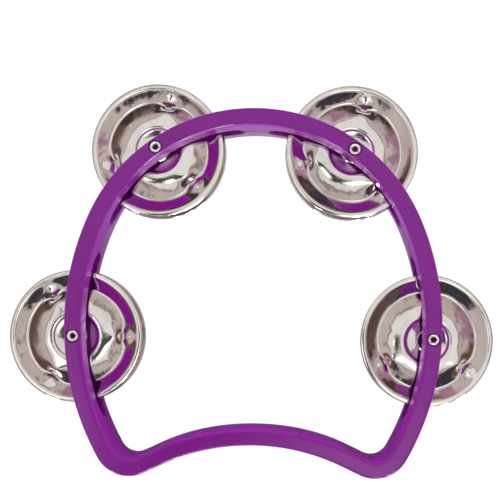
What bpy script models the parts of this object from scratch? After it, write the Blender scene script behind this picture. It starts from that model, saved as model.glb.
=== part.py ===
"""Cutaway hand tambourine, lying on its back with its front face up.

A closed plastic ring, arched at the top and bowed inwards along the handle, is moulded as two halves that part
at mid-depth. Four slots at mid-depth hold a pair of stamped jingles each, and a tubular rivet runs through the
ring and both jingles. X runs across the ring, Y from the handle to the top of the arch, and Z through its depth.
Run it with: blender --background --python part.py
"""

import math

import bmesh
import bpy
from mathutils import Vector

MM = 0.001

# Ring: its outer edge at the faces is a chain of tangent arcs, the same on both sides of X = 0
RING_DEPTH = 24.0 * MM
RING_TOP_Y = 64.3 * MM
RIM_WIDTH = 6.4 * MM
HANDLE_WIDTH = 5.9 * MM
WALL_BULGE = 0.6 * MM  # how far each wall stands proud at mid-depth, which is the moulding draft
EDGE_RADIUS = 1.0 * MM
PARTING_GAP = 0.3 * MM
ARCH_RADIUS = 68.2 * MM
ARCH_ANGLE = 66.5
SIDE_RADIUS = 102.35 * MM
SIDE_ANGLE = 52.8
CORNER_RADIUS = 13.4 * MM
FLANK_LENGTH = 7.3 * MM  # straight between the corner and the handle
HANDLE_ANGLE = 25.3
HANDLE_STEPS = 6

# Slots and rivets: a station's heading is the angle from the top of the arch, turning towards its side
SLOT_HEIGHT = 9.0 * MM
SLOT_LENGTH = 63.4 * MM
UPPER_HEADING = 35.2
LOWER_HEADING = 92.6
RIVET_HOLE_RADIUS = 1.7 * MM
HEAD_RECESS_RADIUS = 2.65 * MM
HEAD_RECESS_DEPTH = 1.4 * MM
SHANK_RADIUS = 1.45 * MM
HEAD_RADIUS = 2.1 * MM
HEAD_HEIGHT = 0.9 * MM
HEAD_BELOW_FACE = 0.25 * MM
RIVET_BORE_RADIUS = 0.85 * MM
RIVET_BORE_DEPTH = 6.0 * MM

# Jingles: outer surface as (radius, height above the plane that the trough's underside rests on)
JINGLE_RADIUS = 25.4 * MM
JINGLE_HOLE_RADIUS = 3.5 * MM
JINGLE_SHEET = 0.6 * MM
JINGLE_HEIGHT = 3.4 * MM
JINGLE_GAP = 0.3 * MM  # between the two troughs at rest, and between the rear dome and the slot
JINGLE_PROFILE = (
    (JINGLE_HOLE_RADIUS, 2.4 * MM),
    (8.0 * MM, 2.8 * MM),  # dished hub
    (9.2 * MM, JINGLE_HEIGHT),  # crest round the hub
    (12.6 * MM, 3.05 * MM),
    (14.0 * MM, 2.65 * MM),  # shoulder
    (18.4 * MM, 0.8 * MM),
    (19.2 * MM, JINGLE_SHEET),  # trough
    (20.1 * MM, 0.85 * MM),
    (23.3 * MM, 2.35 * MM),  # raised lip
    (JINGLE_RADIUS, 2.25 * MM),
)

# Registration pegs: headings of the solid lands between the slots; two more stand at the handle's ends
PEG_RADIUS = 1.1 * MM
PEG_HEIGHT = 1.8 * MM
PEG_CLEARANCE = 0.3 * MM
PEG_HEADINGS = (0.0, 68.6, -68.6, 115.0, -115.0)

# Station: side (-1 left, 1 right), heading, and how far each jingle sits off its rivet's axis, in X and Y
STATIONS = {
    "upper_left": (-1, UPPER_HEADING, (-0.3 * MM, 0.3 * MM), (0.3 * MM, -0.2 * MM)),
    "upper_right": (1, UPPER_HEADING, (-0.6 * MM, 0.5 * MM), (-0.9 * MM, -0.1 * MM)),
    "lower_left": (-1, LOWER_HEADING, (-0.8 * MM, -0.2 * MM), (-0.1 * MM, -0.2 * MM)),
    "lower_right": (1, LOWER_HEADING, (-1.3 * MM, -0.6 * MM), (-1.1 * MM, -0.9 * MM)),
}

MID_Z = RING_DEPTH / 2
ARCH_CENTRE = Vector((0, RING_TOP_Y - ARCH_RADIUS))


def clear_scene():
    for item in list(bpy.data.objects):
        bpy.data.objects.remove(item)


def material(name, colour, roughness, metallic):
    made = bpy.data.materials.new(name)
    made.use_nodes = True
    shader = made.node_tree.nodes["Principled BSDF"]
    shader.inputs["Base Color"].default_value = (*colour, 1)
    shader.inputs["Roughness"].default_value = roughness
    shader.inputs["Metallic"].default_value = metallic
    return made


def add_object(name, bm, surface=None, location=(0, 0, 0)):
    """The bmesh as a smooth-shaded object, with its faces pointing out. With no surface it is a cutter."""
    bmesh.ops.recalc_face_normals(bm, faces=bm.faces)
    mesh = bpy.data.meshes.new(name)
    bm.to_mesh(mesh)
    bm.free()
    made = bpy.data.objects.new(name, mesh)
    made.location = location
    bpy.context.scene.collection.objects.link(made)
    if surface:
        mesh.materials.append(surface)
        mesh.shade_smooth()
        mesh.set_sharp_from_angle(angle=math.radians(35))
    else:
        made.hide_render = True
        made.display_type = "WIRE"
    return made


def boolean(target, cutter, operation):
    modifier = target.modifiers.new(cutter.name, "BOOLEAN")
    modifier.operation = operation
    modifier.object = cutter


# Outline of the ring


def heading_vector(heading):
    """Unit vector out of the ring where its outer edge has that heading, in degrees."""
    angle = math.radians(heading)
    return Vector((math.sin(angle), math.cos(angle)))


def rim_point(side, heading, inset):
    """Point on the arch or the side arc, inset from the outer edge, on the side given."""
    out = heading_vector(abs(heading))
    point = ARCH_CENTRE + out * (ARCH_RADIUS - inset)
    if abs(heading) > ARCH_ANGLE:
        side_centre = ARCH_CENTRE + heading_vector(ARCH_ANGLE) * (ARCH_RADIUS - SIDE_RADIUS)
        point = side_centre + out * (SIDE_RADIUS - inset)
    return Vector((point.x * side, point.y))


def half_outline():
    """(point, outward vector, rim width) from the top of the arch round the right side to the handle's middle."""
    corner_angle = 180 + HANDLE_ANGLE - ARCH_ANGLE - SIDE_ANGLE
    stations = []
    point, heading = Vector((0, RING_TOP_Y)), 0.0

    def add(share_of_handle=0.0):
        ease = share_of_handle**2 * (3 - 2 * share_of_handle)
        width = RIM_WIDTH + (HANDLE_WIDTH - RIM_WIDTH) * ease
        stations.append((point.copy(), heading_vector(heading), width))

    def follow_arc(radius, sweep, steps, handle=False):
        """Turns by sweep degrees, clockwise where it is positive."""
        nonlocal point, heading
        side = math.copysign(1, sweep)
        centre = point - heading_vector(heading) * radius * side
        for step in range(1, steps + 1):
            heading += sweep / steps
            point = centre + heading_vector(heading) * radius * side
            add(step / steps if handle else 0.0)

    add()
    follow_arc(ARCH_RADIUS, ARCH_ANGLE, 13)
    follow_arc(SIDE_RADIUS, SIDE_ANGLE, 11)
    follow_arc(CORNER_RADIUS, corner_angle, 9)
    along = heading_vector(heading + 90)
    point = point + along * FLANK_LENGTH
    add()
    handle_radius = point.x / math.sin(math.radians(HANDLE_ANGLE))
    follow_arc(handle_radius, -HANDLE_ANGLE, HANDLE_STEPS, handle=True)
    return stations


def ring_outline():
    """The whole closed outline, clockwise from the top of the arch."""
    right = half_outline()
    left = [(Vector((-p.x, p.y)), Vector((-n.x, n.y)), w) for p, n, w in reversed(right[1:-1])]
    return right + left


def half_section(width):
    """(inset from the outer edge, height above mid-depth) round one half's section."""
    height = (RING_DEPTH - PARTING_GAP) / 2
    turns = [math.radians(a) for a in (0, 45, 90)]
    outer = [(-WALL_BULGE, 0)]
    outer += [
        (EDGE_RADIUS * (1 - math.cos(a)), height - EDGE_RADIUS * (1 - math.sin(a))) for a in turns
    ]
    inner = [(width - inset, rise) for inset, rise in reversed(outer)]
    return outer + inner


def frame_half(name, face, surface):
    """Half of the ring, on the side of mid-depth that face gives: 1 front, -1 back."""
    bm = bmesh.new()
    rings = []
    for point, out, width in ring_outline():
        loop = []
        for inset, rise in half_section(width):
            place = point - out * inset
            loop.append(bm.verts.new((place.x, place.y, MID_Z + face * (PARTING_GAP / 2 + rise))))
        rings.append(loop)
    for loop, following in zip(rings, rings[1:] + rings[:1]):
        for i in range(len(loop)):
            j = (i + 1) % len(loop)
            bm.faces.new((loop[i], loop[j], following[j], following[i]))
    return add_object(name, bm, surface)


def turned(bm, profile, sides, centre=(0, 0)):
    """Adds a closed turned solid to bm from (radius, z) pairs; a radius of 0 is a point on the axis."""
    loops = []
    for radius, z in profile:
        loop = []
        for i in range(sides if radius else 1):
            turn = 2 * math.pi * i / sides
            x = centre[0] + radius * math.cos(turn)
            y = centre[1] + radius * math.sin(turn)
            loop.append(bm.verts.new((x, y, z)))
        loops.append(loop)
    pairs = list(zip(loops, loops[1:]))
    if len(loops[0]) > 1:
        pairs.append((loops[-1], loops[0]))
    for lower, upper in pairs:
        for i in range(sides):
            j = (i + 1) % sides
            corners = [lower[i % len(lower)], lower[j % len(lower)]]
            corners += [upper[j % len(upper)], upper[i % len(upper)]]
            bm.faces.new(list(dict.fromkeys(corners)))


# Cutters


def station_places():
    """Name, rivet position in X and Y, outward vector, and the two jingles' offsets, for each station."""
    for name, (side, heading, front_offset, rear_offset) in STATIONS.items():
        place = rim_point(side, heading, RIM_WIDTH / 2)
        out = heading_vector(heading)
        yield name, place, Vector((out.x * side, out.y)), Vector(front_offset), Vector(rear_offset)


def slot_cutter():
    """Four round-ended slots, each cut straight through the wall along its rivet's outward direction."""
    reach = 15 * MM
    end_radius = SLOT_HEIGHT / 2
    straight = SLOT_LENGTH / 2 - end_radius
    end_steps = 6
    profile = []
    for side in (1, -1):
        for step in range(end_steps + 1):
            turn = math.pi * step / end_steps
            profile.append((side * (straight + end_radius * math.sin(turn)), side * end_radius * math.cos(turn)))
    bm = bmesh.new()
    for _, place, out, _, _ in station_places():
        along = Vector((out.y, -out.x))
        layers = []
        for depth in (-reach, reach):
            base = place + out * depth
            layers.append(
                [bm.verts.new((base.x + along.x * a, base.y + along.y * a, MID_Z + z)) for a, z in profile]
            )
        count = len(profile)
        bm.faces.new(layers[0])
        bm.faces.new(layers[1])
        for i in range(count):
            j = (i + 1) % count
            bm.faces.new((layers[0][i], layers[0][j], layers[1][j], layers[1][i]))
    return add_object("slot_cutter", bm)


def rivet_hole_cutter():
    """A through hole with a round head recess at each face, for every rivet."""
    beyond = 1 * MM
    low, high = HEAD_RECESS_DEPTH, RING_DEPTH - HEAD_RECESS_DEPTH
    profile = [
        (0, -beyond),
        (HEAD_RECESS_RADIUS, -beyond),
        (HEAD_RECESS_RADIUS, low),
        (RIVET_HOLE_RADIUS, low),
        (RIVET_HOLE_RADIUS, high),
        (HEAD_RECESS_RADIUS, high),
        (HEAD_RECESS_RADIUS, RING_DEPTH + beyond),
        (0, RING_DEPTH + beyond),
    ]
    bm = bmesh.new()
    for _, place, _, _, _ in station_places():
        turned(bm, profile, 20, place)
    return add_object("rivet_hole_cutter", bm)


def peg_places():
    """Middle of the rim's width at each solid land, and where the handle's arc begins on either side."""
    for heading in PEG_HEADINGS:
        yield rim_point(math.copysign(1, heading), heading, RIM_WIDTH / 2)
    point, out, width = half_outline()[-1 - HANDLE_STEPS]
    handle_end = point - out * width / 2
    yield handle_end
    yield Vector((-handle_end.x, handle_end.y))


def peg_solids(name, radius, low, high):
    bm = bmesh.new()
    for place in peg_places():
        turned(bm, [(0, low), (radius, low), (radius, high), (0, high)], 12, place)
    return add_object(name, bm)


# Metal parts


def rivet(name, place, surface):
    """Tubular rivet: flat back head, plain shank, and a rolled front head round an open bore."""
    bottom = HEAD_BELOW_FACE
    top = RING_DEPTH - HEAD_BELOW_FACE
    under_front = top - HEAD_HEIGHT
    edge = 0.25 * MM
    roll_radius = (HEAD_RADIUS + RIVET_BORE_RADIUS) / 2
    profile = [
        (0, bottom),
        (HEAD_RADIUS - edge, bottom),
        (HEAD_RADIUS, bottom + edge),
        (HEAD_RADIUS, bottom + HEAD_HEIGHT),
        (SHANK_RADIUS, bottom + HEAD_HEIGHT),
        (SHANK_RADIUS, under_front),
        (HEAD_RADIUS - edge, under_front),
        (HEAD_RADIUS, top - HEAD_HEIGHT / 2),
        (HEAD_RADIUS - edge, top - edge / 2),
        (roll_radius, top),
        (RIVET_BORE_RADIUS + edge / 2, top - edge),
        (RIVET_BORE_RADIUS, top - HEAD_HEIGHT),
        (RIVET_BORE_RADIUS, top - RIVET_BORE_DEPTH),
        (0, top - RIVET_BORE_DEPTH),
    ]
    bm = bmesh.new()
    turned(bm, profile, 14)
    return add_object(name, bm, surface, (place.x, place.y, 0))


def jingle(name, place, trough_z, face, surface):
    """Stamped disc with its dome towards face (1 front, -1 back), and its trough's underside at trough_z."""
    inner = [(r, z - JINGLE_SHEET) for r, z in reversed(JINGLE_PROFILE)]
    bm = bmesh.new()
    turned(bm, [(r, face * z) for r, z in [*JINGLE_PROFILE, *inner]], 28)
    return add_object(name, bm, surface, (place.x, place.y, trough_z))


def build():
    clear_scene()
    plastic = material("purple_plastic", (0.19, 0.027, 0.24), 0.22, 0.0)
    steel = material("bright_steel", (0.72, 0.70, 0.67), 0.14, 1.0)
    rivet_steel = material("rivet_steel", (0.78, 0.76, 0.74), 0.2, 1.0)

    slots = slot_cutter()
    holes = rivet_hole_cutter()
    root = 1 * MM
    pegs = peg_solids("peg_shapes", PEG_RADIUS, MID_Z - root, MID_Z + PEG_HEIGHT)
    sockets = peg_solids(
        "peg_sockets", PEG_RADIUS + PEG_CLEARANCE, MID_Z - root, MID_Z + PEG_HEIGHT + PEG_CLEARANCE
    )
    front = frame_half("frame_front", 1, plastic)
    back = frame_half("frame_back", -1, plastic)
    for half in (front, back):
        boolean(half, slots, "DIFFERENCE")
        boolean(half, holes, "DIFFERENCE")
    boolean(front, sockets, "DIFFERENCE")
    boolean(back, pegs, "UNION")

    rear_trough_z = MID_Z - SLOT_HEIGHT / 2 + JINGLE_GAP + JINGLE_HEIGHT
    front_trough_z = rear_trough_z + JINGLE_GAP
    for name, place, _, front_offset, rear_offset in station_places():
        axle = rivet(f"rivet_{name}", place, rivet_steel)
        for part, face, trough_z, offset in (
            ("front", 1, front_trough_z, front_offset),
            ("rear", -1, rear_trough_z, rear_offset),
        ):
            jingle(f"jingle_{part}_{name}", place + offset, trough_z, face, steel)


build()
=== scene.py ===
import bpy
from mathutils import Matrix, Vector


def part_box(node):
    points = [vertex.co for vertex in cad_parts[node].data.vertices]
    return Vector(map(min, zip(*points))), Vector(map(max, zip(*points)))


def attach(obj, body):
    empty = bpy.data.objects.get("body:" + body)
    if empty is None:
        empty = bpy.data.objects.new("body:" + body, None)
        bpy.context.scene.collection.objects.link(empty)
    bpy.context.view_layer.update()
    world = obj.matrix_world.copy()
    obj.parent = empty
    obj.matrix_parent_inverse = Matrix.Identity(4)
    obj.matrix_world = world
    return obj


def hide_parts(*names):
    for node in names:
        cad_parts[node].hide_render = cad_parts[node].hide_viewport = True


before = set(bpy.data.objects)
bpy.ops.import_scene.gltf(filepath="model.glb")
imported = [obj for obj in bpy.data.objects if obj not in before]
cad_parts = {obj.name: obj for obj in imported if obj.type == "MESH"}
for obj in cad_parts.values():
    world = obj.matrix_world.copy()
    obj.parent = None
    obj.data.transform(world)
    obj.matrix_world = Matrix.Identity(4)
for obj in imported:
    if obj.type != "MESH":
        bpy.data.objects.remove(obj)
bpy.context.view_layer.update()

import math

import bmesh
import bpy
from mathutils import Vector

MM = 0.001

# Ring: the CAD part's own driving dimensions
RING_DEPTH = 24.0 * MM
RING_TOP_Y = 64.3 * MM
RIM_WIDTH = 6.4 * MM
HANDLE_WIDTH = 5.9 * MM
WALL_BULGE = 0.6 * MM
EDGE_RADIUS = 1.0 * MM
ARCH_RADIUS = 68.2 * MM
ARCH_ANGLE = 66.5
SIDE_RADIUS = 102.35 * MM
SIDE_ANGLE = 52.8
CORNER_RADIUS = 13.4 * MM
FLANK_LENGTH = 7.3 * MM
HANDLE_ANGLE = 25.3
SLOT_HEIGHT = 9.0 * MM
SLOT_LENGTH = 63.4 * MM
UPPER_HEADING = 35.2
LOWER_HEADING = 92.6
HEAD_RECESS_RADIUS = 2.65 * MM
HEAD_RECESS_DEPTH = 1.4 * MM
RIVET_HOLE_RADIUS = 1.7 * MM
PEG_RADIUS = 1.1 * MM
PEG_HEIGHT = 1.8 * MM
PEG_HEADINGS = (0.0, 68.6, -68.6, 115.0, -115.0)

# Finer detail than the CAD part carries
SEAM_GAP = 0.07 * MM
SEAM_ROUNDING = 0.14 * MM
SLOT_ROUNDING = 0.4 * MM

HEAD_LIP = 0.22 * MM  # rounding of a head recess at the face
PEG_CLEARANCE = 0.12 * MM
CUT_MARGIN = 1 * MM  # how far a cutter or a peg's root reaches past the surface it works on

MID_Z = RING_DEPTH / 2
ARCH_CENTRE = Vector((0, RING_TOP_Y - ARCH_RADIUS))
STATIONS = ("upper_left", "upper_right", "lower_left", "lower_right")

# How finely the ring is divided
TOP_STEPS = 7
BETWEEN_STEPS = 11
AFTER_STEPS = 8
CORNER_STEPS = 25
FLANK_STEPS = 6
HANDLE_STEPS = 26
SLOT_STEPS = 36
SLOT_END_TURNS = (10, 20, 30, 40, 50, 60, 69, 77, 84, 89)
QUARTER_TURNS = (0, 22.5, 45, 67.5, 90)
FACE_EDGE_TURNS = (0, 10, 22, 34, 45, 56, 68, 80, 90)
SEAM_MARGIN = 0.02  # share of a run kept clear of a slot's last station
TOP_MARGIN = 0.03


def smooth(t):
    t = min(1.0, max(0.0, t))
    return t * t * (3 - 2 * t)


def heading_vector(heading):
    angle = math.radians(heading)
    return Vector((math.sin(angle), math.cos(angle)))


SIDE_CENTRE = ARCH_CENTRE + heading_vector(ARCH_ANGLE) * (ARCH_RADIUS - SIDE_RADIUS)
CORNER_START = ARCH_ANGLE + SIDE_ANGLE
CORNER_END = 180 + HANDLE_ANGLE
CORNER_CENTRE = SIDE_CENTRE + heading_vector(CORNER_START) * (SIDE_RADIUS - CORNER_RADIUS)


def rim_at(heading, inset=0.0):
    """Point of the right half's convex outline at a heading, inset from the outer edge."""
    out = heading_vector(heading)
    if heading <= ARCH_ANGLE:
        return ARCH_CENTRE + out * (ARCH_RADIUS - inset)
    if heading <= CORNER_START:
        return SIDE_CENTRE + out * (SIDE_RADIUS - inset)
    return CORNER_CENTRE + out * (CORNER_RADIUS - inset)


# Ring halves. A station is (path, along, rise, lean, rounding, width): path(along) gives the outer and the
# inner edge point, rise is the height above mid-depth of the wall's lower edge, lean is the direction from
# the slot's edge into the wall, and rounding is that edge's radius.

FLAT_LEAN = (0.0, 1.0)


def by_heading(outer_from, outer_to, inner_from, inner_to):
    """Path along the convex outline between two headings, which may differ for its outer and inner edge."""

    def path(share):
        outer = rim_at(outer_from + (outer_to - outer_from) * share)
        inner = rim_at(inner_from + (inner_to - inner_from) * share, RIM_WIDTH)
        return outer, inner

    return path


def across_slot(centre, radius, heading):
    """Path whose stations lie square to a slot, at a distance a along it from its middle."""
    out, along = heading_vector(heading), heading_vector(heading + 90)

    def path(a):
        base = centre + along * a
        inner_radius = radius - RIM_WIDTH
        outer = base + out * math.sqrt(radius**2 - a * a)
        inner = base + out * math.sqrt(inner_radius**2 - a * a)
        return outer, inner

    return path


def seam_stations(path, steps, first=0.0, last=1.0):
    """Stations where the wall goes all the way down to the seam between the halves."""
    places = [first + (last - first) * i / (steps - 1) for i in range(steps)]
    return [(path, along, SEAM_GAP / 2, FLAT_LEAN, SEAM_ROUNDING, RIM_WIDTH) for along in places]


def slot_stations(path):
    """Stations across a slot: its straight middle and the upper quarter of each round end."""
    end_radius = SLOT_HEIGHT / 2
    straight = SLOT_LENGTH / 2 - end_radius
    end = SLOT_LENGTH / 2
    mitre = (1.0, 1.0)
    blend_from, blend_over = 55, 33  # degrees round the end where the slot's rounding becomes the seam's
    right = []
    for turn in SLOT_END_TURNS:
        t = math.radians(turn)
        blend = smooth((turn - blend_from) / blend_over)
        rounding = SLOT_ROUNDING + (SEAM_ROUNDING - SLOT_ROUNDING) * blend
        lean = (math.sin(t), math.cos(t))
        along = straight + end_radius * lean[0]
        right.append((path, along, end_radius * lean[1], lean, rounding, RIM_WIDTH))
    right.append((path, end, SEAM_GAP / 2, mitre, SEAM_ROUNDING, RIM_WIDTH))
    middle = [
        (path, straight * (2 * i / SLOT_STEPS - 1), end_radius, FLAT_LEAN, SLOT_ROUNDING, RIM_WIDTH)
        for i in range(SLOT_STEPS + 1)
    ]
    left = [(p, -a, rise, (-lean[0], lean[1]), r, w) for p, a, rise, lean, r, w in reversed(right)]
    return left + middle + right


def half_stations():
    """Stations from the top of the arch round the right side to the handle's middle."""
    half = SLOT_LENGTH / 2

    def reach(radius):
        return math.degrees(math.asin(half / radius))

    arch_out, arch_in = reach(ARCH_RADIUS), reach(ARCH_RADIUS - RIM_WIDTH)
    side_out, side_in = reach(SIDE_RADIUS), reach(SIDE_RADIUS - RIM_WIDTH)
    top = by_heading(0, UPPER_HEADING - arch_out, 0, UPPER_HEADING - arch_in)
    between = by_heading(
        UPPER_HEADING + arch_out,
        LOWER_HEADING - side_out,
        UPPER_HEADING + arch_in,
        LOWER_HEADING - side_in,
    )
    after = by_heading(LOWER_HEADING + side_out, CORNER_START, LOWER_HEADING + side_in, CORNER_START)
    corner = by_heading(CORNER_START, CORNER_END, CORNER_START, CORNER_END)
    stations = seam_stations(top, TOP_STEPS, 0.0, 1 - TOP_MARGIN)
    stations += slot_stations(across_slot(ARCH_CENTRE, ARCH_RADIUS, UPPER_HEADING))
    stations += seam_stations(between, BETWEEN_STEPS, SEAM_MARGIN, 1 - SEAM_MARGIN)
    stations += slot_stations(across_slot(SIDE_CENTRE, SIDE_RADIUS, LOWER_HEADING))
    stations += seam_stations(after, AFTER_STEPS, SEAM_MARGIN)
    stations += seam_stations(corner, CORNER_STEPS)[1:]

    flank_start = rim_at(CORNER_END)
    flank_out = heading_vector(CORNER_END)
    flank_along = heading_vector(CORNER_END + 90)
    flank_end = flank_start + flank_along * FLANK_LENGTH

    def flank(share):
        point = flank_start + flank_along * FLANK_LENGTH * share
        return point, point - flank_out * RIM_WIDTH

    stations += seam_stations(flank, FLANK_STEPS)[1:]
    handle_radius = flank_end.x / math.sin(math.radians(HANDLE_ANGLE))
    handle_centre = flank_end + flank_out * handle_radius
    for step in range(1, HANDLE_STEPS + 1):
        share = step / HANDLE_STEPS
        width = RIM_WIDTH + (HANDLE_WIDTH - RIM_WIDTH) * smooth(share)

        def handle(along, width=width):
            out = heading_vector(CORNER_END - HANDLE_ANGLE * along)
            point = handle_centre - out * handle_radius
            return point, point - out * width

        stations.append((handle, share, SEAM_GAP / 2, FLAT_LEAN, SEAM_ROUNDING, width))
    return stations


def section(station, face):
    """Corner points of one half's section, going up the outer wall and down the inner one."""
    path, along, rise, lean, rounding, width = station
    height = RING_DEPTH / 2
    face_margin = 0.35  # share of the half width at which the flat face gets one more edge
    wall_top = height - EDGE_RADIUS

    def wall(level):
        return -WALL_BULGE * (1 - level / wall_top)

    side = []
    for turn in QUARTER_TURNS:
        t = math.radians(turn)
        depth = rounding * (1 - math.cos(t))
        level = rise + lean[1] * depth
        side.append((wall(level) + rounding * (1 - math.sin(t)), lean[0] * depth, level))
    low = rise + lean[1] * rounding
    for share in (0.1, 0.3, 0.55, 0.8):
        level = low + (wall_top - low) * share
        side.append((wall(level), lean[0] * rounding * (1 - share) ** 2, level))
    for turn in FACE_EDGE_TURNS:
        t = math.radians(turn)
        side.append((EDGE_RADIUS * (1 - math.cos(t)), 0.0, height - EDGE_RADIUS * (1 - math.sin(t))))
    side.append((EDGE_RADIUS + face_margin * (width / 2 - EDGE_RADIUS), 0.0, height))
    loop = side + [(width - inset, shift, level) for inset, shift, level in reversed(side)]
    loop += [(width * share, 0.0, rise) for share in (0.7, 0.5, 0.3)]
    points = []
    for inset, shift, level in loop:
        outer, inner = path(along + shift)
        spot = outer + (inner - outer) * (inset / width)
        points.append((spot.x, spot.y, MID_Z + face * level))
    return points


def new_object(name, bm, location=(0, 0, 0)):
    bmesh.ops.recalc_face_normals(bm, faces=bm.faces)
    mesh = bpy.data.meshes.new(name)
    bm.to_mesh(mesh)
    bm.free()
    made = bpy.data.objects.new(name, mesh)
    made.location = location
    bpy.context.scene.collection.objects.link(made)
    return made


def turned(bm, profile, sides, centre=(0, 0), lobes=None):
    """Closed turned solid from (radius, z) pairs; a radius of 0 is a point on the axis."""
    loops = []
    for index, (radius, z) in enumerate(profile):
        loop = []
        for i in range(sides if radius else 1):
            turn = 2 * math.pi * i / sides
            reach, lift = lobes(index, turn) if lobes and radius else (0.0, 0.0)
            x = centre[0] + (radius + reach) * math.cos(turn)
            y = centre[1] + (radius + reach) * math.sin(turn)
            loop.append(bm.verts.new((x, y, z + lift)))
        loops.append(loop)
    pairs = list(zip(loops, loops[1:]))
    if len(loops[0]) > 1:
        pairs.append((loops[-1], loops[0]))
    for lower, upper in pairs:
        for i in range(sides):
            j = (i + 1) % sides
            corners = [lower[i % len(lower)], lower[j % len(lower)]]
            corners += [upper[j % len(upper)], upper[i % len(upper)]]
            bm.faces.new(list(dict.fromkeys(corners)))


def close_loops(bm, loops):
    """Faces between neighbouring loops, and from the last loop to the first."""
    for loop, following in zip(loops, loops[1:] + loops[:1]):
        for i in range(len(loop)):
            j = (i + 1) % len(loop)
            bm.faces.new((loop[i], loop[j], following[j], following[i]))


def shade(mesh, sharp_angle):
    """Smooth shading, with edges steeper than sharp_angle degrees kept sharp."""
    mesh.shade_smooth()
    mesh.set_sharp_from_angle(angle=math.radians(sharp_angle))


def apply_booleans(target, cuts):
    """Works the cutters into the target's mesh and removes them."""
    for cutter, operation in cuts:
        modifier = target.modifiers.new(cutter.name, "BOOLEAN")
        modifier.operation = operation
        modifier.object = cutter
    bpy.context.view_layer.update()
    evaluated = target.evaluated_get(bpy.context.evaluated_depsgraph_get())
    mesh = bpy.data.meshes.new_from_object(evaluated)
    target.modifiers.clear()
    target.data = mesh
    for cutter, _ in cuts:
        bpy.data.objects.remove(cutter)


def rivet_places():
    """Each station's name and the middle of its rivet."""
    for name in STATIONS:
        low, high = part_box(f"rivet_{name}")
        yield name, (low + high) / 2


def head_cutter(face):
    """The rivet's hole and its head's recess, which has a rounded lip at the face."""
    sides = 56
    top = RING_DEPTH / 2
    slot_side = SLOT_HEIGHT / 2 - CUT_MARGIN
    shelf = top - HEAD_RECESS_DEPTH
    profile = [(0, slot_side), (RIVET_HOLE_RADIUS, slot_side)]
    profile += [(RIVET_HOLE_RADIUS, shelf), (HEAD_RECESS_RADIUS, shelf)]
    for turn in QUARTER_TURNS:
        t = math.radians(turn)
        radius = HEAD_RECESS_RADIUS + HEAD_LIP * (1 - math.cos(t))
        profile.append((radius, top - HEAD_LIP * (1 - math.sin(t))))
    profile += [(HEAD_RECESS_RADIUS + HEAD_LIP, top + CUT_MARGIN), (0, top + CUT_MARGIN)]
    bm = bmesh.new()
    for _, place in rivet_places():
        turned(bm, [(r, MID_Z + face * z) for r, z in profile], sides, place)
    return new_object(f"head_cutter_{face}", bm)


def peg_shapes(name, radius, high):
    """Cylinders at every peg, from below the seam up to high."""
    sides = 24
    low = MID_Z - CUT_MARGIN
    bm = bmesh.new()
    places = []
    for heading in PEG_HEADINGS:
        spot = rim_at(abs(heading), RIM_WIDTH / 2)
        places.append(Vector((math.copysign(spot.x, heading), spot.y)))
    flank_end = rim_at(CORNER_END) + heading_vector(CORNER_END + 90) * FLANK_LENGTH
    handle_end = flank_end - heading_vector(CORNER_END) * RIM_WIDTH / 2
    places += [handle_end, Vector((-handle_end.x, handle_end.y))]
    for place in places:
        turned(bm, [(0, low), (radius, low), (radius, high), (0, high)], sides, place)
    return new_object(name, bm)


def ring_half(name, face):
    """One moulding; the back one carries the pegs and the front one their sockets."""
    right = [section(station, face) for station in half_stations()]
    left = [[(-x, y, z) for x, y, z in points] for points in reversed(right[1:-1])]
    bm = bmesh.new()
    close_loops(bm, [[bm.verts.new(p) for p in points] for points in right + left])
    half = new_object(name, bm)
    heads = head_cutter(face)
    peg_top = MID_Z + PEG_HEIGHT
    if face > 0:
        sockets = peg_shapes("sockets", PEG_RADIUS + PEG_CLEARANCE, peg_top + PEG_CLEARANCE)
        apply_booleans(half, [(heads, "DIFFERENCE"), (sockets, "DIFFERENCE")])
    else:
        pegs = peg_shapes("pegs", PEG_RADIUS, peg_top)
        apply_booleans(half, [(heads, "DIFFERENCE"), (pegs, "UNION")])
    shade(half.data, 35)
    return half


# Jingles. The stamping is worked out in mm round its own axis and becomes metres in jingle().

JINGLE_RADIUS = 25.4
JINGLE_HOLE_RADIUS = 3.5
JINGLE_SHEET = 0.6
JINGLE_COLUMNS = 176
HUB_HEIGHT = 2.15
HOLE_BEAD = 0.3
BEAD_LIFT = 0.55
BEAD_STRETCH = 1.15
HOLE_UNDERCUT = 0.12
DIMPLE_RADIUS = 16.5
FOLD_WIDTH = 3.0
FOLD_REACH = 3.3
FOLD_PULL = 1.7
PIT_DEPTH = 0.12
PIT_RADIUS = 0.6
UNEVENNESS = 0.022
EVEN_RADIUS = 8.5  # the hub stays even out to here
EVEN_BLEND = 4
# Directions of a station's three dimples, in degrees, on its front jingle
DIMPLE_ANGLES = {
    "upper_left": (78, 195, 318),
    "upper_right": (75, 192, 307),
    "lower_left": (0, 120, 240),
    "lower_right": (87, 208, 325),
}
REAR_TURN = 41
# Slope of the stamping, in degrees falling outwards, at each radius
SLOPES = (
    (4.0, 0.0),
    (5.0, -4.0),
    (7.6, -10.0),
    (7.9, -18.0),
    (8.35, -27.0),
    (8.9, -15.0),
    (9.4, -3.0),
    (10.6, 3.5),
    (11.9, 7.5),
    (12.7, 12.5),
    (13.9, 16.0),
    (16.0, 18.5),
    (17.6, 20.5),
    (18.5, 20.5),
    (18.8, 2.0),
    (19.1, -16.0),
    (19.9, -25.0),
    (22.7, -28.0),
    (23.5, -22.0),
    (24.0, -4.0),
    (24.8, 8.0),
    (25.4, 14.0),
)
PROFILE_STEP = 0.05
PROFILE_END = 27  # past the rim, because a dimple's fold reads the profile further out


def slope_at(radius):
    for (r0, s0), (r1, s1) in zip(SLOPES, SLOPES[1:]):
        if radius <= r1:
            return s0 + (s1 - s0) * smooth((radius - r0) / (r1 - r0))
    return SLOPES[-1][1]


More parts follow.
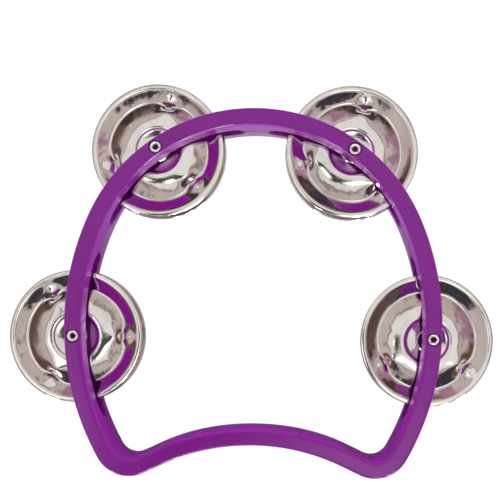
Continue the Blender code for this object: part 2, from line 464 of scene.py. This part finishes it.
def height_table():
    """The slopes summed outwards from the hub to a little past the rim."""
    heights = [HUB_HEIGHT]
    radius = SLOPES[0][0]
    while radius < PROFILE_END:
        middle = radius + PROFILE_STEP / 2
        heights.append(heights[-1] - math.tan(math.radians(slope_at(middle))) * PROFILE_STEP)
        radius += PROFILE_STEP
    return heights


HEIGHTS = height_table()


def profile_height(radius):
    """Height of the stamping's outer surface at a radius, with no dimple."""
    place = (radius - SLOPES[0][0]) / PROFILE_STEP
    if place <= 0:
        return HEIGHTS[0]
    index = min(int(place), len(HEIGHTS) - 2)
    return HEIGHTS[index] + (HEIGHTS[index + 1] - HEIGHTS[index]) * min(place - index, 1.0)


def bell(distance, width):
    return math.exp(-((distance / width) ** 2))


def around(angle, centre):
    return (angle - centre + math.pi) % (2 * math.pi) - math.pi


def stamped_height(radius, angle, dimples, seed):
    """Height with the dimples, where the flank gathers into a steep step, and the sheet's unevenness."""
    squeeze, pit = 0.0, 0.0
    beyond = radius - DIMPLE_RADIUS
    for centre in dimples:
        arc = radius * around(angle, centre)
        squeeze += bell(arc, FOLD_WIDTH)
        pit += PIT_DEPTH * bell(math.hypot(arc, beyond), PIT_RADIUS)
    shift = FOLD_PULL * squeeze * beyond * bell(beyond, FOLD_REACH)
    height = profile_height(radius + shift) - pit
    share = smooth((radius - EVEN_RADIUS) / EVEN_BLEND)
    wobble = math.sin(3 * angle + seed) * math.sin(radius * 0.55 + seed * 2)
    wobble += 0.6 * math.sin(5 * angle + 2.3 * seed) * math.sin(radius * 0.83 + seed)
    wobble += 0.4 * math.sin(9 * angle - seed) * math.sin(radius * 0.4 + 1.7 * seed)
    return height + UNEVENNESS * share * wobble


def angle_samples(dimples, count):
    """Angles round the disc, closer together near the dimples."""
    fine = 1440
    crowding, crowd_width = 3.2, 0.11
    weights = []
    for i in range(fine):
        angle = 2 * math.pi * i / fine
        weights.append(1 + crowding * sum(bell(around(angle, c), crowd_width) for c in dimples))
    total = sum(weights)
    angles, gathered, target = [], 0.0, 0.0
    for i, weight in enumerate(weights):
        while gathered + weight > target and len(angles) < count:
            angles.append(2 * math.pi * (i + (target - gathered) / weight) / fine)
            target += total / count
        gathered += weight
    return angles


def jingle_radii():
    """Radii of the surface's rings, closer together where the profile or a dimple bends sharply."""
    radii = [4.25, 5.2, 6.4, 7.4, 7.8, 8.0, 8.15, 8.3, 8.5, 8.7, 8.9, 9.1, 9.4]
    radii += [9.9 + 0.5 * i for i in range(11)]
    radii += [15.3, 15.7, 16.0, 16.25, 16.4, 16.55, 16.7, 16.85, 17.1, 17.4, 17.8, 18.2]
    radii += [18.45, 18.65, 18.8, 18.95, 19.15, 19.45, 19.8]
    radii += [20.2 + 0.4 * i for i in range(9)]
    radii += [23.7, 23.95, 24.2, 24.6]
    return radii


def jingle_column(angle, dimples, seed):
    """Section of the disc at an angle: the hole's bead, the outer surface, the edge and the underside."""
    half_sheet = JINGLE_SHEET / 2
    column = []
    for turn in range(-180, 1, 30):
        t = math.radians(turn)
        height = HUB_HEIGHT + HOLE_BEAD * BEAD_LIFT - HOLE_BEAD * math.sin(t) * BEAD_STRETCH
        column.append((JINGLE_HOLE_RADIUS + HOLE_BEAD * (1 + math.cos(t)), height))
    for radius in jingle_radii():
        column.append((radius, stamped_height(radius, angle, dimples, seed)))
    edge = stamped_height(JINGLE_RADIUS - half_sheet, angle, dimples, seed) - half_sheet
    for turn in range(90, -91, -30):
        t = math.radians(turn)
        radius = JINGLE_RADIUS - half_sheet + half_sheet * math.cos(t)
        column.append((radius, edge + half_sheet * math.sin(t)))
    for radius in reversed(jingle_radii()[1::2]):
        column.append((radius, stamped_height(radius, angle, dimples, seed) - JINGLE_SHEET))
    column.append((JINGLE_HOLE_RADIUS + HOLE_UNDERCUT, HUB_HEIGHT - JINGLE_SHEET))
    return column


def jingle(name, node, face, dimple_degrees, seed):
    """Stamped disc: beaded hole, dished hub, flank with three dimples, trough and raised lip."""
    low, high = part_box(node)
    centre = (low + high) / 2
    base = low.z if face > 0 else high.z  # the trough's underside
    dimples = [math.radians(a if face > 0 else -a) for a in dimple_degrees]
    bm = bmesh.new()
    loops = []
    for angle in angle_samples(dimples, JINGLE_COLUMNS):
        across, up = math.cos(angle), math.sin(angle)
        column = jingle_column(angle, dimples, seed)
        loops.append([bm.verts.new((r * MM * across, r * MM * up, face * z * MM)) for r, z in column])
    close_loops(bm, loops)
    made = new_object(name, bm, (centre.x, centre.y, base))
    shade(made.data, 50)
    return made


# Rivets

SHANK_RADIUS = 1.45 * MM
HEAD_RADIUS = 2.1 * MM
HEAD_HEIGHT = 0.9 * MM
HEAD_EDGE = 0.28 * MM
RIVET_BORE_RADIUS = 0.85 * MM
RIVET_BORE_DEPTH = 6.0 * MM
ROLL_RADIUS = 0.34 * MM
ROLL_STRETCH = 1.2
ROLL_TURNS = (-75, -45, -15, 15, 45, 70, 95, 120, 150, 175)
BORE_MOUTH = 1.22  # times the bore's radius, where the roll turns in
MOUTH_DEPTH = 0.7 * MM
BORE_START = 1.1 * MM
PETALS = 6
PETAL_REACH = 0.09 * MM
PETAL_DROP = 0.05 * MM
RIVET_SIDES = 72


def rivet_profile(low, top):
    """(radius, z) pairs from the factory head at the back up to the rolled front and down the bore."""
    profile = [(0, low + 0.02 * MM), (HEAD_RADIUS * 0.6, low)]
    for turn in range(-90, 91, 30):
        t = math.radians(turn)
        radius = HEAD_RADIUS - HEAD_EDGE + HEAD_EDGE * math.cos(t)
        profile.append((radius, low + HEAD_EDGE + HEAD_EDGE * math.sin(t)))
    profile += [(SHANK_RADIUS, low + HEAD_HEIGHT), (SHANK_RADIUS, top - HEAD_HEIGHT)]
    first_rolled = len(profile)
    for turn in ROLL_TURNS:
        t = math.radians(turn)
        height = top - ROLL_RADIUS * ROLL_STRETCH + ROLL_RADIUS * ROLL_STRETCH * math.sin(t)
        profile.append((HEAD_RADIUS - ROLL_RADIUS + ROLL_RADIUS * math.cos(t), height))
    profile += [
        (RIVET_BORE_RADIUS * BORE_MOUTH, top - MOUTH_DEPTH),
        (RIVET_BORE_RADIUS, top - BORE_START),
        (RIVET_BORE_RADIUS, top - RIVET_BORE_DEPTH),
        (0, top - RIVET_BORE_DEPTH),
    ]
    return profile, first_rolled


def rivet(name, place, low, high, seed):
    """Tubular rivet: a factory head at the back, and a front end rolled over and clenched into petals."""
    profile, first_rolled = rivet_profile(low.z, high.z)
    last_rolled = first_rolled + len(ROLL_TURNS) + 1

    def lobes(index, turn):
        if not first_rolled <= index <= last_rolled:
            return 0.0, 0.0
        inner = smooth((index - first_rolled - 3) / 5)
        wave = math.cos(PETALS * turn + seed) * (0.7 + 0.3 * math.sin(turn + 2 * seed))
        return PETAL_REACH * inner * wave, -PETAL_DROP * inner * (1 + wave)

    bm = bmesh.new()
    turned(bm, profile, RIVET_SIDES, place, lobes)
    made = new_object(name, bm)
    shade(made.data, 40)
    # The bore gets painted shade: a dark mauve steel in place of the lit rivet steel.
    paint_shade_in_bore(made.data, place, low.z + HEAD_HEIGHT, high.z - 0.3 * MM)
    return made


def paint_shade_in_bore(mesh, place, low, high):
    """Gives the bore's faces between two heights the second material, which paints shade inside the bore: a
    dark steel with a mauve cast standing in for the frame's purple reflected in the hole.
    """
    reach = RIVET_BORE_RADIUS * 1.25
    for face in mesh.polygons:
        spot = face.center
        if low < spot.z < high and math.hypot(spot.x - place.x, spot.y - place.y) < reach:
            face.material_index = 1


# Materials


class Graph:
    """Short ways to add and join shader nodes."""

    def __init__(self, tree):
        self.tree = tree

    def add(self, kind, **values):
        node = self.tree.nodes.new(kind)
        for key, value in values.items():
            setattr(node, key, value)
        return node

    def join(self, source, target):
        self.tree.links.new(source, target)

    def feed(self, socket, value):
        if isinstance(value, bpy.types.NodeSocket):
            self.join(value, socket)
        else:
            socket.default_value = value

    def math(self, operation, a, b):
        node = self.add("ShaderNodeMath", operation=operation)
        self.feed(node.inputs[0], a)
        self.feed(node.inputs[1], b)
        return node.outputs[0]

    def noise(self, vector, scale, detail, roughness, distortion=0.0):
        node = self.add("ShaderNodeTexNoise")
        self.join(vector, node.inputs["Vector"])
        node.inputs["Scale"].default_value = scale
        node.inputs["Detail"].default_value = detail
        node.inputs["Roughness"].default_value = roughness
        node.inputs["Distortion"].default_value = distortion
        return node.outputs["Fac"]

    def span(self, value, low, high, to_low, to_high):
        """Smooth step from to_low to to_high as value goes from low to high."""
        node = self.add("ShaderNodeMapRange", interpolation_type="SMOOTHSTEP")
        self.feed(node.inputs["Value"], value)
        node.inputs["From Min"].default_value = low
        node.inputs["From Max"].default_value = high
        node.inputs["To Min"].default_value = to_low
        node.inputs["To Max"].default_value = to_high
        return node.outputs[0]

    def mix(self, share, a, b):
        """Colour between a and b; the node's colour sockets have no names of their own."""
        node = self.add("ShaderNodeMix", data_type="RGBA")
        self.feed(node.inputs["Factor"], share)
        self.feed(node.inputs[6], a)
        self.feed(node.inputs[7], b)
        return node.outputs[2]

    def bump(self, height, strength, distance):
        node = self.add("ShaderNodeBump")
        node.inputs["Strength"].default_value = strength
        node.inputs["Distance"].default_value = distance
        self.join(height, node.inputs["Height"])
        return node.outputs["Normal"]

    def coordinates(self):
        return self.add("ShaderNodeTexCoord").outputs["Object"]


def node_material(name):
    made = bpy.data.materials.new(name)
    made.use_nodes = True
    return made, made.node_tree.nodes["Principled BSDF"], Graph(made.node_tree)


def plastic_material():
    """Glossy moulded polystyrene: even deep purple, faint flow marks and handling scuffs."""
    made, shader, g = node_material("purple_plastic")
    place = g.coordinates()
    flow = g.noise(place, scale=60, detail=4, roughness=0.55, distortion=0.6)
    scuff = g.noise(place, scale=900, detail=4, roughness=0.6)
    ripple = g.noise(place, scale=140, detail=2, roughness=0.4)
    deep, light = (0.162, 0.0028, 0.206, 1), (0.180, 0.0040, 0.229, 1)
    g.join(g.mix(g.span(flow, 0.3, 0.7, 0, 1), deep, light), shader.inputs["Base Color"])
    g.join(g.span(scuff, 0.35, 0.75, 0.13, 0.25), shader.inputs["Roughness"])
    height = g.math("ADD", ripple, g.math("MULTIPLY", scuff, 0.06))
    g.join(g.bump(height, 0.12, 0.35 * MM), shader.inputs["Normal"])
    shader.inputs["IOR"].default_value = 1.5
    shader.inputs["Specular IOR Level"].default_value = 0.4
    return made


def steel_material(name, dull, bright, roughness, tarnish, metal=1.0):
    """Bright plated steel: smudges, fine scratches, and a warm tarnish where it collects."""
    made, shader, g = node_material(name)
    place = g.coordinates()
    cloud = g.noise(place, scale=130, detail=4, roughness=0.6, distortion=0.4)
    smear = g.noise(place, scale=420, detail=5, roughness=0.65, distortion=1.2)
    grain = g.noise(place, scale=2600, detail=3, roughness=0.6)
    colour = g.mix(g.span(cloud, 0.3, 0.72, 0, 1), (*dull, 1), (*bright, 1))
    spots = g.span(smear, 0.66, 0.8, 0, tarnish)
    g.join(g.mix(spots, colour, (0.34, 0.25, 0.17, 1)), shader.inputs["Base Color"])
    rough = g.math("ADD", g.span(smear, 0.35, 0.75, *roughness), g.span(grain, 0.5, 0.8, 0, 0.03))
    g.join(rough, shader.inputs["Roughness"])
    height = g.math("ADD", g.math("MULTIPLY", cloud, 0.8), g.math("MULTIPLY", grain, 0.02))
    g.join(g.bump(height, 0.25, 0.25 * MM), shader.inputs["Normal"])
    shader.inputs["Metallic"].default_value = metal
    return made


def jingle_steel():
    return steel_material("jingle_steel", (0.70, 0.66, 0.64), (0.80, 0.77, 0.74), (0.03, 0.09), 0.5)


def rivet_steel():
    return steel_material("rivet_steel", (0.90, 0.80, 0.86), (0.97, 0.88, 0.94), (0.08, 0.16), 0.1, 0.35)


# Dark mauve steel for the rivet's bore: painted shade inside the hole, with a purple cast painted in for
# the frame's reflected colour.
def bore_painted_shade():
    return steel_material("bore_painted_shade", (0.22, 0.13, 0.15), (0.30, 0.19, 0.22), (0.25, 0.4), 0.3, 0.6)


# Pieces


def build_frame():
    plastic = plastic_material()
    for name, face in (("front", 1), ("back", -1)):
        half = ring_half(f"ring_{name}_half", face)
        half.data.materials.append(plastic)
        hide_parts(f"frame_{name}")
        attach(half, "frame")


def build_rivet(name, place, number, surfaces):
    low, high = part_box(f"rivet_{name}")
    tube = rivet(f"tube_rivet_{name}", place, low, high, 1.3 + 2.1 * number)
    for surface in surfaces:
        tube.data.materials.append(surface)
    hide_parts(f"rivet_{name}")
    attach(tube, f"spindle_{name}")


def build_jingles(name, number, steel):
    """A station's front jingle, and its rear one, which is turned over and a little round."""
    for part, face, turn, seed in (("front", 1, 0, 0.7), ("rear", -1, REAR_TURN, 1.5)):
        node = f"jingle_{part}_{name}"
        dimples = [angle + turn for angle in DIMPLE_ANGLES[name]]
        disc = jingle(f"stamped_{part}_{name}", node, face, dimples, seed + 1.9 * number)
        disc.data.materials.append(steel)
        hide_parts(node)
        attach(disc, f"{part}_jingle_{name}")


def build_stations():
    steel = jingle_steel()
    rivet_surfaces = rivet_steel(), bore_painted_shade()
    for number, (name, place) in enumerate(rivet_places()):
        build_rivet(name, place, number, rivet_surfaces)
        build_jingles(name, number, steel)


# Studio

BACKGROUND = 0.94
# Colour of the surroundings by height, from the horizon (0) to straight overhead (1)
SKY_STOPS = (
    (0.0, (0.62, 0.60, 0.60)),
    (0.36, (0.40, 0.30, 0.32)),
    (0.43, (0.13, 0.075, 0.07)),
    (0.60, (0.14, 0.085, 0.07)),
    (0.64, (0.30, 0.21, 0.185)),
    (0.67, (0.54, 0.45, 0.45)),
    (0.74, (0.64, 0.55, 0.54)),
    (0.845, (0.60, 0.54, 0.51)),
    (0.868, (0.26, 0.21, 0.17)),
    (0.885, (0.90, 0.88, 0.85)),
    (1.0, (0.92, 0.91, 0.88)),
)


class Sky:
    """Colour by direction; azimuths are in degrees from +X towards +Y, zeniths from straight up."""

    def __init__(self, graph):
        self.graph = graph
        self.direction = graph.add("ShaderNodeTexCoord").outputs["Generated"]
        split = graph.add("ShaderNodeSeparateXYZ")
        graph.join(self.direction, split.inputs[0])
        self.height = split.outputs["Z"]
        mottle = graph.noise(self.direction, scale=9, detail=5, roughness=0.7)
        self.mottle = graph.math("SUBTRACT", mottle, 0.5)

    def base(self):
        """The stops by height, shifted a little up and down by soft noise."""
        g = self.graph
        noise = g.noise(self.direction, scale=3.5, detail=3, roughness=0.6, distortion=0.8)
        drift = g.math("MULTIPLY", g.math("SUBTRACT", noise, 0.5), 0.16)
        ramp = g.add("ShaderNodeValToRGB")
        g.join(g.math("ADD", self.height, drift), ramp.inputs["Fac"])
        elements = ramp.color_ramp.elements
        while len(elements) < len(SKY_STOPS):
            elements.new(0.5)
        for element, (place, colour) in zip(elements, SKY_STOPS):
            element.position = place
            element.color = (*colour, 1)
        return ramp.outputs["Color"]

    def towards(self, azimuth, zenith):
        """Cosine of the angle to a direction."""
        a, z = math.radians(azimuth), math.radians(zenith)
        dot = self.graph.add("ShaderNodeVectorMath", operation="DOT_PRODUCT")
        self.graph.join(self.direction, dot.inputs[0])
        level = math.sin(z)
        dot.inputs[1].default_value = (level * math.cos(a), level * math.sin(a), math.cos(z))
        return dot.outputs["Value"]

    def patch(self, colour, azimuth, zenith, inner, outer, tint, ragged=0.0):
        """A round patch, full inside inner degrees and gone at outer, with an edge that can be ragged."""
        g = self.graph
        value = self.towards(azimuth, zenith)
        if ragged:
            value = g.math("ADD", value, g.math("MULTIPLY", self.mottle, ragged))
        full, gone = math.cos(math.radians(inner)), math.cos(math.radians(outer))
        return g.mix(g.span(value, gone, full, 0, 1), colour, (*tint, 1))

    def low_bar(self, colour, azimuth, inner, outer, low, high, tint):
        """A long light just above the floor, from z = low to high, within inner degrees of an azimuth."""
        g = self.graph
        full, gone = math.cos(math.radians(inner)), math.cos(math.radians(outer)) - 0.01
        across = g.span(self.towards(azimuth, 90), gone, full, 0, 1)
        above = g.span(self.height, low - 0.02, low + 0.02, 0, 1)
        below = g.span(self.height, high - 0.03, high + 0.01, 1, 0)
        share = g.math("MULTIPLY", across, g.math("MULTIPLY", above, below))
        return g.mix(share, colour, (*tint, 1))


def fill_light(sky, colour):
    """What lights the plastic: a low glow all round, stronger from the near and the far side."""
    colour = sky.low_bar(colour, 272, 180, 180, 0.02, 0.30, (5.5, 5.4, 5.4))
    colour = sky.low_bar(colour, 272, 50, 90, 0.02, 0.30, (7.0, 6.8, 6.9))
    return sky.low_bar(colour, 80, 50, 100, 0.09, 0.30, (9.0, 8.8, 8.8))


def mirrored_room(sky, colour):
    """What the polished surfaces mirror: dark and mauve shapes in the tent, and a few bright lamps."""
    for azimuth in (60, 78, 96, 114, 130):
        colour = sky.patch(colour, azimuth, 62, 7, 13, (0.045, 0.04, 0.055), 0.12)
    for azimuth in (8, 30, 48):
        colour = sky.patch(colour, azimuth, 57, 3, 8, (0.06, 0.045, 0.05), 0.12)
    for azimuth, zenith in ((104, 47), (72, 48), (25, 48), (5, 46)):
        colour = sky.patch(colour, azimuth, zenith, 4, 9, (0.42, 0.23, 0.33), 0.12)
    for azimuth in (236, 254, 272, 290, 308):
        colour = sky.patch(colour, azimuth, 46, 7, 11, (0.05, 0.045, 0.06), 0.06)
    colour = sky.patch(colour, 228, 10, 6, 12, (0.07, 0.08, 0.07), 0.09)
    colour = sky.patch(colour, 292, 13, 0, 9, (2.4, 2.4, 2.3))
    colour = sky.patch(colour, 200, 17, 0, 7, (2.0, 2.0, 1.9))
    colour = sky.low_bar(colour, 272, 180, 180, 0.02, 0.24, (1.4, 1.4, 1.4))
    colour = sky.low_bar(colour, 272, 30, 60, 0.02, 0.20, (3.0, 2.9, 3.0))
    for azimuth in (308, 294, 280, 238):
        colour = sky.patch(colour, azimuth, 74, 2, 6, (80.0, 74.0, 76.0))
    return colour


def studio_world():
    """Soft studio light from all round; the camera itself sees an even pale background."""
    world = bpy.data.worlds.new("studio")
    bpy.context.scene.world = world
    world.use_nodes = True
    world.cycles.sampling_method = "NONE"
    world.node_tree.nodes.clear()
    g = Graph(world.node_tree)
    sky = Sky(g)
    base = sky.base()
    path = g.add("ShaderNodeLightPath")
    light = g.mix(path.outputs["Is Diffuse Ray"], mirrored_room(sky, base), fill_light(sky, base))
    lit = g.add("ShaderNodeBackground")
    g.join(light, lit.inputs["Color"])
    seen = g.add("ShaderNodeBackground")
    seen.inputs["Color"].default_value = (BACKGROUND, BACKGROUND, BACKGROUND, 1)
    blend = g.add("ShaderNodeMixShader")
    g.join(path.outputs["Is Camera Ray"], blend.inputs[0])
    g.join(lit.outputs[0], blend.inputs[1])
    g.join(seen.outputs[0], blend.inputs[2])
    output = g.add("ShaderNodeOutputWorld")
    g.join(blend.outputs[0], output.inputs["Surface"])


FLOOR_RADIUS = 2.5
FLOOR_DROP = 0.3 * MM
FLOOR_GLOW_SEEN = 1.15
FLOOR_GLOW_BOUNCED = 0.9
FLOOR_PAINT_SHARE = 0.10


def floor_material():
    """Pale glowing floor that stays white to the camera and grey to diffuse light. Polished surfaces mirror
    a painted reflection on it: dark purple at the near side, painted shade and the ring's own purple bleed,
    grading to lavender at the far side, painted light for the lit inner wall of the arch.
    """
    surface = bpy.data.materials.new("pale_floor_painted_reflection")
    surface.use_nodes = True
    surface.node_tree.nodes.clear()
    g = Graph(surface.node_tree)
    place = g.add("ShaderNodeSeparateXYZ")
    g.join(g.coordinates(), place.inputs[0])
    # Painted reflection for glossy rays only: dark purple near (painted shade), lavender far (painted light
    # on the arch's inner wall).
    far = g.span(place.outputs["Y"], -20 * MM, 55 * MM, 0, 1)
    painted_reflection = g.mix(far, (0.16, 0.035, 0.19, 1), (0.70, 0.60, 0.72, 1))
    path = g.add("ShaderNodeLightPath")
    grey, white = (FLOOR_GLOW_BOUNCED,) * 3, (FLOOR_GLOW_SEEN,) * 3
    bounced = g.mix(path.outputs["Is Diffuse Ray"], painted_reflection, (*grey, 1))
    seen = g.mix(path.outputs["Is Camera Ray"], bounced, (*white, 1))
    glow = g.add("ShaderNodeEmission")
    g.join(seen, glow.inputs["Color"])
    paint = g.add("ShaderNodeBsdfDiffuse")
    paint.inputs["Color"].default_value = (0.9, 0.9, 0.9, 1)
    blend = g.add("ShaderNodeMixShader")
    blend.inputs[0].default_value = FLOOR_PAINT_SHARE
    g.join(glow.outputs[0], blend.inputs[1])
    g.join(paint.outputs[0], blend.inputs[2])
    output = g.add("ShaderNodeOutputMaterial")
    g.join(blend.outputs[0], output.inputs["Surface"])
    return surface


def floor():
    bm = bmesh.new()
    rim = []
    for degrees in range(0, 360, 5):
        a = math.radians(degrees)
        rim.append(bm.verts.new((FLOOR_RADIUS * math.cos(a), FLOOR_RADIUS * math.sin(a), -FLOOR_DROP)))
    bm.faces.new(rim)
    made = new_object("studio_floor", bm)
    made.data.materials.append(floor_material())


CAMERA_PLACE = (14.5 * MM, -14.4 * MM, 377 * MM)
CAMERA_ROLL = 0.65
FOCAL_LENGTH = 67.9
SENSOR_WIDTH = 36.0
FRAME_SHIFT = (-0.084, 0.136)


def camera():
    """Looks straight down; the shift brings the whole object into the frame."""
    lens = bpy.data.cameras.new("photo_view")
    lens.sensor_width = SENSOR_WIDTH
    lens.lens = FOCAL_LENGTH
    lens.shift_x, lens.shift_y = FRAME_SHIFT
    lens.clip_start = 0.01
    lens.clip_end = 20
    made = bpy.data.objects.new("photo_view", lens)
    made.location = CAMERA_PLACE
    made.rotation_euler = (0, 0, math.radians(CAMERA_ROLL))
    bpy.context.scene.collection.objects.link(made)
    bpy.context.scene.camera = made


build_frame()
build_stations()
studio_world()
floor()
camera()
bpy.context.scene.view_settings.view_transform = "Standard"
